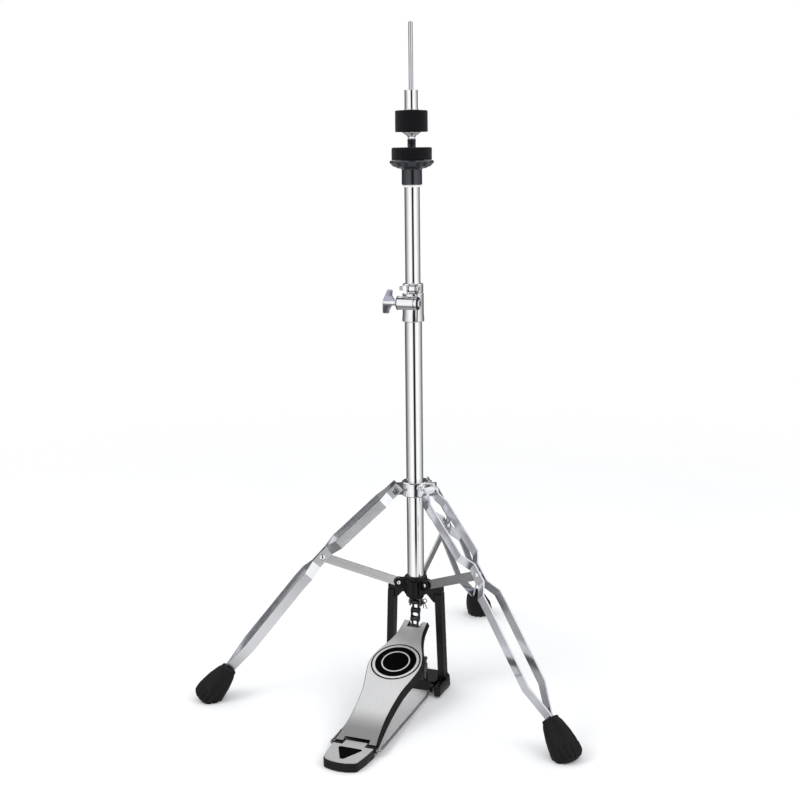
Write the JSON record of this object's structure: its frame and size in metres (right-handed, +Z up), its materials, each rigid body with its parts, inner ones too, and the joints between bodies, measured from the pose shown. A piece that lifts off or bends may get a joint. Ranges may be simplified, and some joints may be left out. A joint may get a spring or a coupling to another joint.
{
  "type": "hi-hat stand",
  "caption": "Chrome hi-hat stand: double-braced folding tripod, telescoping tower with pull rod, clutch and cymbal seat, and a chain-driven footboard.",
  "frame": {"origin": "on the floor under the tower's axis, on the base plate's flat underside", "axes": "+Z up along the tube; the footboard and heel lie toward -Y; the legs stand at 210, 330 and 90 degrees from +X"},
  "size_m": [0.594, 0.6385, 0.988],
  "materials": {
    "chrome": "polished",
    "plated_steel": "zinc plated",
    "brushed_plate": "brushed",
    "black_casting": "satin black",
    "black_plastic": "glossy",
    "white_nylon": "matte",
    "black_felt": "felt",
    "rubber": "matte"
  },
  "bodies": {
    "frame": {"lower_tube": "chrome", "clamp_body": "chrome", "clamp_bushing": "white_nylon", "frame_head": "black_casting", "left_upright": "black_casting", "right_upright": "black_casting", "base_plate": "black_casting", "heel_base": "black_casting", "heel_cover": "brushed_plate", "radius_rod": "chrome", "left_stay_pin": "chrome", "right_stay_pin": "chrome", "back_stay_pin": "chrome", "return_spring": "plated_steel"},
    "wing_screw": {"clamp_wing_screw": "chrome"},
    "height": {"upper_tube": "chrome", "tube_top_ring": "white_nylon", "seat_cup": "black_plastic", "seat_felt": "black_felt"},
    "memory_lock": {"memory_lock": "chrome"},
    "memory_bolt": {"memory_key_bolt": "chrome"},
    "clutch": {"clutch_tube": "chrome", "clutch_lower_felt": "black_felt", "clutch_upper_felt": "black_felt"},
    "clutch_nut": {"clutch_nut": "chrome"},
    "clutch_screw": {"clutch_lock_screw": "chrome"},
    "rod": {"lower_pull_rod": "plated_steel", "upper_pull_rod": "chrome", "rod_clevis": "plated_steel", "clevis_pin": "plated_steel"},
    "adjuster": {"spring_adjuster": "black_casting"},
    "chain": {"chain": "plated_steel"},
    "pedal": {"footboard": "black_casting", "footboard_plate": "brushed_plate", "toe_pin": "plated_steel"},
    "left_spur": {"left_spur_screw": "plated_steel"},
    "right_spur": {"right_spur_screw": "plated_steel"},
    "collar": {"leg_collar": "chrome", "left_leg_bolt": "chrome", "right_leg_bolt": "chrome", "back_leg_bolt": "chrome"},
    "collar_bolt": {"collar_key_bolt": "chrome"},
    "left_leg": {"left_leg_rear_strip": "chrome", "left_leg_front_strip": "chrome", "left_leg_rear_rivet": "chrome", "left_leg_front_rivet": "chrome", "left_foot": "rubber"},
    "left_stay_bar": {"left_stay": "plated_steel"},
    "right_leg": {"right_leg_front_strip": "chrome", "right_leg_rear_strip": "chrome", "right_leg_front_rivet": "chrome", "right_leg_rear_rivet": "chrome", "right_foot": "rubber"},
    "right_stay_bar": {"right_stay": "plated_steel"},
    "back_leg": {"back_leg_right_strip": "chrome", "back_leg_left_strip": "chrome", "back_leg_right_rivet": "chrome", "back_leg_left_rivet": "chrome", "back_foot": "rubber"},
    "back_stay_bar": {"back_stay": "plated_steel"}
  },
  "joints": [
    {"name": "pedal_hinge", "type": "hinge", "parent": "frame", "child": "pedal", "pos_m": [0, -0.2425, 0.0085], "axis": [-1, 0, 0], "range_deg": [0, 8], "stiffness_Nm_per_rad": 8, "springref_deg": -17.19},
    {"name": "rod_slide", "type": "slide", "parent": "frame", "child": "rod", "axis": [0, 0, -1], "range_m": [0, 0.0335], "deforming": ["return_spring"]},
    {"name": "chain_swing", "type": "hinge", "parent": "rod", "child": "chain", "pos_m": [0, 0, 0.133], "axis": [1, 0, 0], "range_deg": [0, 15]},
    {"name": "height_slide", "type": "slide", "parent": "frame", "child": "height", "axis": [0, 0, 1], "range_m": [0, 0.06]},
    {"name": "memory_lock_slide", "type": "slide", "parent": "height", "child": "memory_lock", "axis": [0, 0, 1], "range_m": [0, 0.1]},
    {"name": "clutch_slide", "type": "slide", "parent": "height", "child": "clutch", "axis": [0, 0, 1], "range_m": [0, 0.03]},
    {"name": "wing_screw_spin", "type": "hinge", "parent": "frame", "child": "wing_screw", "pos_m": [0, -0.019, 0.5945], "axis": [1, 0, 0], "continuous": true},
    {"name": "memory_bolt_spin", "type": "hinge", "parent": "memory_lock", "child": "memory_bolt", "pos_m": [0, -0.0185, 0.616], "axis": [1, 0, 0], "continuous": true},
    {"name": "clutch_nut_spin", "type": "hinge", "parent": "clutch", "child": "clutch_nut", "pos_m": [0, 0, 0.8275], "axis": [0, 0, 1], "continuous": true},
    {"name": "clutch_screw_spin", "type": "hinge", "parent": "clutch", "child": "clutch_screw", "pos_m": [0, 0, 0.883], "axis": [-0.342, 0.9397, 0], "continuous": true},
    {"name": "adjuster_spin", "type": "hinge", "parent": "frame", "child": "adjuster", "pos_m": [0, 0, 0.1407], "axis": [0, 0, 1], "continuous": true},
    {"name": "left_spur_spin", "type": "hinge", "parent": "frame", "child": "left_spur", "pos_m": [-0.02, -0.014, 0], "axis": [0, 0, 1], "continuous": true},
    {"name": "right_spur_spin", "type": "hinge", "parent": "frame", "child": "right_spur", "pos_m": [0.02, -0.014, 0], "axis": [0, 0, 1], "continuous": true},
    {"name": "collar_slide", "type": "slide", "parent": "frame", "child": "collar", "axis": [0, 0, 1], "range_m": [0, 0.1173]},
    {"name": "collar_bolt_spin", "type": "hinge", "parent": "collar", "child": "collar_bolt", "pos_m": [0, 0, 0.318], "axis": [0.8829, 0.4695, 0], "continuous": true},
    {"name": "left_leg_hinge", "type": "hinge", "parent": "collar", "child": "left_leg", "pos_m": [-0.02685, -0.0155, 0.314], "axis": [0.5, -0.866, 0], "range_deg": [0, 35.1]},
    {"name": "left_stay_hinge", "type": "hinge", "parent": "frame", "child": "left_stay_bar", "pos_m": [-0.02338, -0.0135, 0.1675], "axis": [-0.5, 0.866, 0], "range_deg": [0, 50.5]},
    {"name": "right_leg_hinge", "type": "hinge", "parent": "collar", "child": "right_leg", "pos_m": [0.02685, -0.0155, 0.314], "axis": [0.5, 0.866, 0], "range_deg": [0, 35.1]},
    {"name": "right_stay_hinge", "type": "hinge", "parent": "frame", "child": "right_stay_bar", "pos_m": [0.02338, -0.0135, 0.1675], "axis": [-0.5, -0.866, 0], "range_deg": [0, 50.5]},
    {"name": "back_leg_hinge", "type": "hinge", "parent": "collar", "child": "back_leg", "pos_m": [0, 0.031, 0.314], "axis": [-1, 0, 0], "range_deg": [0, 35.1]},
    {"name": "back_stay_hinge", "type": "hinge", "parent": "frame", "child": "back_stay_bar", "pos_m": [0, 0.027, 0.1675], "axis": [1, 0, 0], "range_deg": [0, 50.5]}
  ],
  "couplings": [
    {"joint": "rod_slide", "follows": "pedal_hinge", "m_per_rad": 0.23865},
    {"joint": "chain_swing", "follows": "pedal_hinge", "ratio": 1.85},
    {"joint": "left_leg_hinge", "follows": "collar_slide", "rad_per_m": 5.2076},
    {"joint": "left_stay_hinge", "follows": "collar_slide", "rad_per_m": 7.4923},
    {"joint": "right_leg_hinge", "follows": "collar_slide", "rad_per_m": 5.2076},
    {"joint": "right_stay_hinge", "follows": "collar_slide", "rad_per_m": 7.4923},
    {"joint": "back_leg_hinge", "follows": "collar_slide", "rad_per_m": 5.2076},
    {"joint": "back_stay_hinge", "follows": "collar_slide", "rad_per_m": 7.4923}
  ]
}
